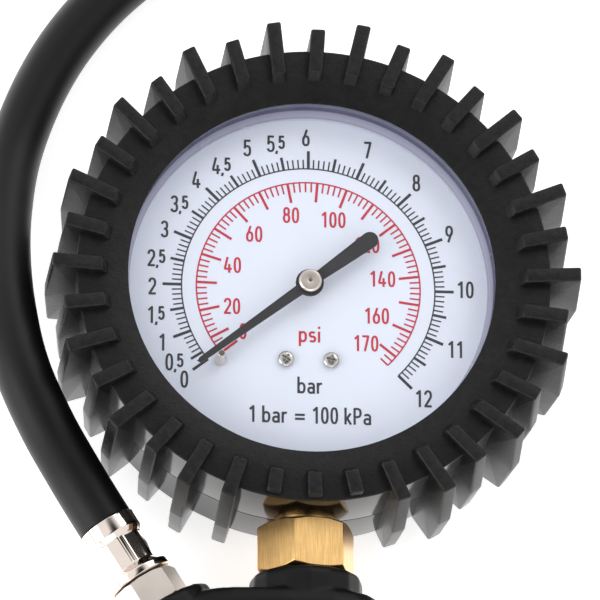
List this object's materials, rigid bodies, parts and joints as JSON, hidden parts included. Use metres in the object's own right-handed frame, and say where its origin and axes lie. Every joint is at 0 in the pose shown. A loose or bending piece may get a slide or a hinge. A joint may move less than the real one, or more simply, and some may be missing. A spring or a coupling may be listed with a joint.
{
  "type": "tyre inflator gun",
  "caption": "Hand-held tyre inflator: dial pressure gauge in a lugged rubber boot on a pistol body with trigger valve, air inlet, rubber hose and clip-on chuck.",
  "frame": {"origin": "on the dial's axis, at the flat rear face of the gauge boot, which lies on the floor", "axes": "+Z out of the dial, +Y from the pistol up to the gauge, +X to the dial's right"},
  "size_m": [0.151, 0.3263, 0.0309],
  "materials": {
    "boot_rubber": "matt moulded rubber",
    "clear_lens": "clear moulded plastic",
    "dial_print": "white printed face",
    "pointer_paint": "satin dark grey paint",
    "black_steel": "black painted steel",
    "hose_rubber": "smooth black rubber",
    "black_cast": "satin black coat",
    "seal_rubber": "matt rubber",
    "nickel": "nickel plate",
    "brass": "machined brass",
    "chrome": "bright chrome plate",
    "steel": "plain steel"
  },
  "bodies": {
    "gun": {"air_hose": "hose_rubber", "bourdon_tube": "brass", "chuck_body": "chrome", "chuck_lever_pin": "steel", "chuck_seal": "seal_rubber", "chuck_spring": "steel", "dial": "dial_print", "dial_post_left": "brass", "dial_post_right": "brass", "dial_screw_left": "steel", "dial_screw_right": "steel", "gauge_boot": "boot_rubber", "gauge_case": "black_steel", "gauge_lens": "clear_lens", "gauge_socket": "brass", "gun_body": "black_cast", "hairspring": "nickel", "hose_ferrule_far": "chrome", "hose_ferrule_near": "chrome", "hose_fitting": "chrome", "inlet_nipple": "steel", "movement_front_plate": "brass", "movement_pillar_left": "brass", "movement_pillar_right": "brass", "movement_rear_plate": "brass", "movement_screw_left": "steel", "movement_screw_right": "steel", "trigger_pin": "steel", "valve_cap": "brass", "valve_spring": "steel", "zero_stop_pin": "steel"},
    "pointer_train": {"pointer": "pointer_paint", "pointer_bush": "nickel", "pinion_arbor": "steel"},
    "sector": {"sector_gear": "brass", "sector_arbor": "steel"},
    "link": {"tip_link": "brass", "tube_end_piece": "brass", "link_pin_upper": "steel", "link_pin_lower": "steel"},
    "trigger": {"trigger": "black_cast"},
    "valve": {"valve_stem": "steel", "valve_seal": "seal_rubber"},
    "chuck_lever": {"chuck_lever": "chrome"}
  },
  "joints": [
    {"name": "pointer_turn", "type": "hinge", "parent": "gun", "child": "pointer_train", "pos_m": [0, 0, 0.0214], "axis": [0, 0, -1], "range_deg": [0, 262.9], "stiffness_Nm_per_rad": 0.002, "springref_deg": -5.73, "deforming": ["bourdon_tube", "hairspring"]},
    {"name": "sector_turn", "type": "hinge", "parent": "gun", "child": "sector", "pos_m": [0.01523, -0.0071, 0.013], "axis": [0, 0, 1], "range_deg": [0, 37.61]},
    {"name": "link_turn", "type": "hinge", "parent": "sector", "child": "link", "pos_m": [0.02021, -0.00942, 0.014], "axis": [0, 0, 1], "range_deg": [-37.61, 0]},
    {"name": "trigger_pull", "type": "hinge", "parent": "gun", "child": "trigger", "pos_m": [-0.0275, -0.0833, 0.015], "axis": [0, 0, 1], "range_deg": [0, 12], "stiffness_Nm_per_rad": 0.8, "springref_deg": -8.59},
    {"name": "valve_slide", "type": "slide", "parent": "gun", "child": "valve", "axis": [1, 0, 0], "range_m": [0, 0.0026], "deforming": ["valve_spring"]},
    {"name": "chuck_lever_tip", "type": "hinge", "parent": "gun", "child": "chuck_lever", "pos_m": [0.078, -0.0401, 0.0177], "axis": [-1, 0, 0], "range_deg": [0, 12], "stiffness_Nm_per_rad": 0.3, "springref_deg": -11.46, "deforming": ["chuck_spring"]}
  ],
  "couplings": [
    {"joint": "sector_turn", "follows": "pointer_turn", "ratio": 0.14286},
    {"joint": "link_turn", "follows": "pointer_turn", "ratio": -0.14286},
    {"joint": "valve_slide", "follows": "trigger_pull", "m_per_rad": 0.0118}
  ]
}
